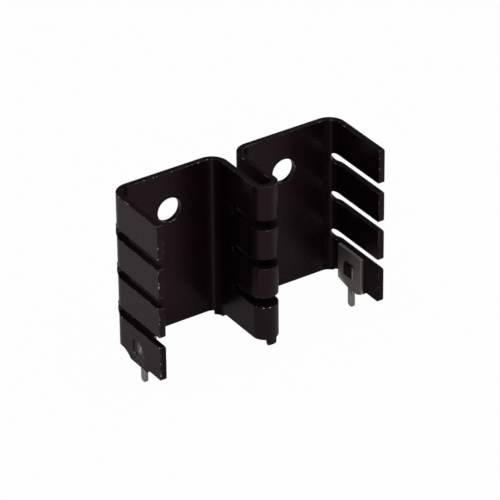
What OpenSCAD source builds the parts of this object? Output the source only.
// Heat sink for two flat-tab transistors, folded from one sheet of aluminium.
// Plan view: side flange, back plate, centre fold with a U-bend, back plate, side flange.
// Millimetres. X runs across the sheet, -Y is the open front, +Z is up from the board.
// The origin lies on the board's top face, midway between the two solder pins.

/* [Sheet] */
// Thickness of the sheet
sheet_t = 1.0; // [0.8:0.1:1.3]
// Width over both side flanges
body_w = 38.5; // [35:0.5:44]
// Height of the sheet between its plain edges
body_h = 25.4; // [24:0.2:30]
// Depth of each side flange, from the back of the plates
flange_depth = 12.9; // [12.4:0.1:16]
// Outside radius of the four plain bends
bend_r = 2.7; // [2.3:0.1:3.2]

/* [Centre fold] */
// Depth of the fold, from the back of the plates to the front of its U-bend
fold_depth = 12.5; // [11:0.5:16]
// Clear gap between the two legs of the fold
fold_gap = 2.05; // [1.6:0.05:2.6]

/* [Cooling slots] */
// Number of slots in each flange and in the fold
slot_count = 3; // [2:1:3]
// Height of each slot
slot_h = 1.6; // [1.2:0.1:1.9]
// Distance from one slot to the next
slot_pitch = 6.42; // [6.3:0.02:6.6]
// Angle round the flange bend at which the slot's rounded end is centred
slot_end_angle = 27; // [15:1:40]
// Distance from the back of the plates to the rounded ends of the fold's slots
fold_slot_start = 5.0; // [2.9:0.1:6]
// Radius of the sheared corners at the fingers' front ends
corner_r = 0.35; // [0.2:0.05:0.5]

/* [Screw holes] */
// Diameter of the transistor screw hole in each plate
hole_d = 3.9; // [3.2:0.1:4.2]
// Distance between the two screw holes
hole_spacing = 19.6; // [18.6:0.2:21]
// Distance from the screw holes down from the sheet's top edge
hole_drop = 6.2; // [5:0.1:8]

/* [Seat on the board] */
// Gap between the board and the sheet's plain lower edge
seat_gap = 0.95; // [0.8:0.05:1.2]
// Width of the lug under the U-bend
fold_lug_w = 1.7; // [1.2:0.05:2]
// How far the lugs under the two inner bends reach below the sheet's edge
bend_lug_h = 0.65; // [0.3:0.05:0.8]
// Angle round the inner bend, from the fold's leg, at which each of those lugs starts
bend_lug_from = 5; // [1:1:20]
// Angle at which it ends
bend_lug_to = 55; // [40:1:80]
// How far the long foot under each flange reaches below the sheet's edge
foot_h = 0.55; // [0.3:0.05:0.8]
// Length of that foot where it leaves the sheet's edge
foot_l = 5.7; // [4:0.1:6.5]
// Distance from the flange's front end to the foot
foot_inset = 3.1; // [2.5:0.1:3.6]
// Length of the slope at each end of the foot
foot_slope = 0.65; // [0.3:0.05:1]
// Depth of the shallow relief in the lower edge beside each flange bend
relief_h = 0.45; // [0.2:0.05:0.6]
// Length of that relief along the edge
relief_l = 2.6; // [2:0.1:3]

/* [Solder tabs] */
// Thickness of the tinned tab
tab_t = 0.5; // [0.4:0.05:0.6]
// Distance from the back of the plates to the line of the two pins
pin_line = 6.45; // [6.3:0.05:7]
// Width of each solder pin
pin_w = 1.27; // [1:0.01:1.4]
// Reach of the pin below the board's top face
pin_l = 2.9; // [2.5:0.05:4]
// Tab's edge to pin centre, on the pin's longer side
tab_long = 3.2; // [3.1:0.05:3.4]
// Tab's edge to pin centre, on the pin's shorter side
tab_short = 2.75; // [2.5:0.05:2.85]
// Height of the tab's upper edge above the board
tab_top = 6.4; // [5.8:0.05:6.4]
// Rise of the tab's sloping lower edge, on the pin's longer side
tab_rise_long = 0.65; // [0.3:0.05:1]
// Rise of the tab's clipped lower corner, on the pin's shorter side
tab_rise_short = 0.45; // [0.3:0.05:1]
// Length of that clipped corner
tab_clip = 1.0; // [0.6:0.05:1.2]

/* [Stakes] */
// Width of the square stake pushed out of the flange
stake_w = 2.3; // [1.8:0.1:2.6]
// Height of that stake
stake_h = 2.6; // [2:0.05:3]
// Height of the stake's centre above the board
stake_z = 3.45; // [3:0.05:3.8]
// How far the stake stands proud of the tab
stake_proud = 0.3; // [0.1:0.05:0.5]
// Clearance all round between the stake and the hole in the tab
stake_play = 0.04; // [0:0.01:0.1]
// Depth of the punch mark behind the stake, in the flange's outer face
punch_depth = 0.5; // [0.3:0.05:0.6]

/* [Hidden] */
$fn = 96;
// Overlap of joined shapes and overrun of cutters
over = 0.5;
half_w = body_w / 2;
bend_in = bend_r - sheet_t;
top_z = seat_gap + body_h;
mid_z = seat_gap + body_h / 2;
slot_r = slot_h / 2;
slot_z = [for (i = [0 : slot_count - 1]) mid_z + (i - (slot_count - 1) / 2) * slot_pitch];
// The U-bend's inside and outside radii, the depth of its centre, and the outside of the fold's legs
u_in = fold_gap / 2;
u_out = u_in + sheet_t;
u_y = u_out - fold_depth;
// Centres of the plain bends, for the right-hand half
inner_bend_x = u_in + bend_r;
flange_bend_x = half_w - bend_r;
foot_front = foot_inset - flange_depth;
hole_z = top_z - hole_drop;
tab_face_x = half_w - sheet_t;
// The stake is centred across the tab, beside the line of the pin
stake_y = (tab_long - tab_short) / 2;

// Point on a circle about the origin
function on_circle(r, angle) = [r * cos(angle), r * sin(angle)];

// Part of a ring in plan, between two angles up to half a turn apart: a bend about its own centre
module ring_part(r_in, r_out, from, to) {
    steps = 3;
    intersection() {
        difference() {
            circle(r = r_out);
            circle(r = r_in);
        }
        polygon([[0, 0], for (i = [0 : steps]) on_circle(2 * r_out, from + (to - from) * i / steps)]);
    }
}

// Plan outline of the right-hand half, from the fold's leg to the flange's front end
module half_plan() {
    translate([u_in, u_y]) square([sheet_t, -bend_r - u_y]);
    translate([inner_bend_x, -bend_r]) ring_part(bend_in, bend_r, 90, 180);
    translate([inner_bend_x, -sheet_t]) square([flange_bend_x - inner_bend_x, sheet_t]);
    translate([flange_bend_x, -bend_r]) ring_part(bend_in, bend_r, 0, 90);
    translate([half_w - sheet_t, -flange_depth]) square([sheet_t, flange_depth - bend_r]);
}

// Plan outline of the whole sheet
module plan() {
    half_plan();
    mirror([1, 0]) half_plan();
    translate([0, u_y]) ring_part(u_in, u_out, 180, 360);
}

// Turns a shape drawn in the side view, depth across and height up, into a slab across X
module across(x, width) {
    translate([x, 0, 0]) rotate([90, 0, 90]) linear_extrude(width) children();
}

// One slot of a flange: straight from its open front, then round the bend to a half-round end
module flange_slot(z) {
    side_w = sheet_t + 2 * over;
    translate([half_w - sheet_t - over, -flange_depth - over, z - slot_r])
        cube([side_w, flange_depth + over - bend_r, slot_h]);
    translate([flange_bend_x, -bend_r, z - slot_r])
        linear_extrude(slot_h) ring_part(bend_in - over, bend_r + over, 0, slot_end_angle);
    translate([flange_bend_x, -bend_r, z]) rotate([0, 90, slot_end_angle])
        translate([0, 0, bend_in - over]) cylinder(r = slot_r, h = side_w);
}

// Rounds the finger corners that meet at a height; gap is the open height between them
module finger_corners(z, gap) {
    across(half_w - sheet_t - over, sheet_t + 2 * over) difference() {
        translate([-flange_depth - over, z - gap / 2 - corner_r])
            square([corner_r + over, gap + 2 * corner_r]);
        for (s = [-1, 1])
            translate([corner_r - flange_depth, z + s * (gap / 2 + corner_r)]) circle(r = corner_r);
    }
}

// One slot of the fold: through both legs and the U-bend, with half-round ends towards the plates
module fold_slot(z) {
    reach = u_out + over;
    end_y = -fold_slot_start - slot_r;
    across(-reach, 2 * reach) {
        translate([-fold_depth - over, z - slot_r]) square([fold_depth + over + end_y, slot_h]);
        translate([end_y, z]) circle(r = slot_r);
    }
}

// Long foot under a flange, with a slope at each end
module flange_foot() {
    across(half_w - sheet_t, sheet_t) polygon([
        [foot_front, seat_gap + corner_r], [foot_front, seat_gap],
        [foot_front + foot_slope, seat_gap - foot_h],
        [foot_front + foot_l - foot_slope, seat_gap - foot_h],
        [foot_front + foot_l, seat_gap], [foot_front + foot_l, seat_gap + corner_r]]);
}

// Shallow relief in the lower edge, where the flange runs into its bend
module edge_relief() {
    relief_r = (pow(relief_l / 2, 2) + pow(relief_h, 2)) / (2 * relief_h);
    across(flange_bend_x, bend_r + over)
        translate([-bend_r, seat_gap + relief_h - relief_r]) circle(r = relief_r);
}

// Lug under the U-bend, down to the board, with rounded lower corners
module fold_lug() {
    intersection() {
        translate([0, u_y, 0]) linear_extrude(seat_gap + over) ring_part(u_in, u_out, 180, 360);
        translate([0, u_y, 0]) rotate([90, 0, 0]) linear_extrude(u_out + over) union() {
            translate([-fold_lug_w / 2, corner_r]) square([fold_lug_w, seat_gap + over]);
            translate([corner_r - fold_lug_w / 2, 0]) square([fold_lug_w - 2 * corner_r, seat_gap]);
            for (s = [-1, 1])
                translate([s * (fold_lug_w / 2 - corner_r), corner_r]) circle(r = corner_r);
        }
    }
}

// Lug under the right-hand inner bend
module bend_lug() {
    translate([inner_bend_x, -bend_r, seat_gap - bend_lug_h]) linear_extrude(bend_lug_h + over)
        ring_part(bend_in, bend_r, 180 - bend_lug_to, 180 - bend_lug_from);
}

// Stake on the inner face of the right-hand flange, drawn about the pin's centre line
module stake() {
    translate([tab_face_x - tab_t - stake_proud, stake_y - stake_w / 2, stake_z - stake_h / 2])
        cube([tab_t + stake_proud + sheet_t / 2, stake_w, stake_h]);
}

// Mark left by the punch behind the stake
module punch_mark() {
    translate([half_w - punch_depth, stake_y - stake_w / 2, stake_z - stake_h / 2])
        cube([punch_depth + over, stake_w, stake_h]);
}

// One tab on the right-hand flange, drawn about the pin's centre line
module tab() {
    root = pin_w / 2;
    // The lower edge lies on the board on both sides of the pin
    translate([tab_face_x - tab_t, 0, 0]) rotate([90, 0, 90]) linear_extrude(tab_t) difference() {
        union() {
            polygon([
                [tab_long, tab_top], [-tab_short, tab_top], [-tab_short, tab_rise_short],
                [tab_clip - tab_short, 0], [root, 0], [tab_long, tab_rise_long]]);
            translate([-root, root - pin_l]) square([pin_w, pin_l]);
            translate([0, root - pin_l]) circle(r = root);
        }
        translate([stake_y - stake_w / 2 - stake_play, stake_z - stake_h / 2 - stake_play])
            square([stake_w + 2 * stake_play, stake_h + 2 * stake_play]);
    }
}

module sheet() {
    color([0.14, 0.12, 0.13]) difference() {
        union() {
            translate([0, pin_line, 0]) difference() {
                union() {
                    translate([0, 0, seat_gap]) linear_extrude(body_h) plan();
                    fold_lug();
                    for (s = [0, 1]) mirror([s, 0, 0]) {
                        bend_lug();
                        flange_foot();
                    }
                }
                for (s = [0, 1]) mirror([s, 0, 0]) {
                    for (z = slot_z) {
                        flange_slot(z);
                        finger_corners(z, slot_h);
                    }
                    for (z = [seat_gap, top_z]) finger_corners(z, 0);
                    edge_relief();
                    translate([hole_spacing / 2, over, hole_z]) rotate([90, 0, 0])
                        cylinder(d = hole_d, h = sheet_t + 2 * over);
                }
                for (z = slot_z) fold_slot(z);
            }
            for (a = [0, 180]) rotate([0, 0, a]) stake();
        }
        for (a = [0, 180]) rotate([0, 0, a]) punch_mark();
    }
}

module right_tab() {
    color([0.55, 0.54, 0.5]) tab();
}

// The same tab turned half round, so that its pin stands on the same line
module left_tab() {
    color([0.55, 0.54, 0.5]) rotate([0, 0, 180]) tab();
}

sheet();
left_tab();
right_tab();
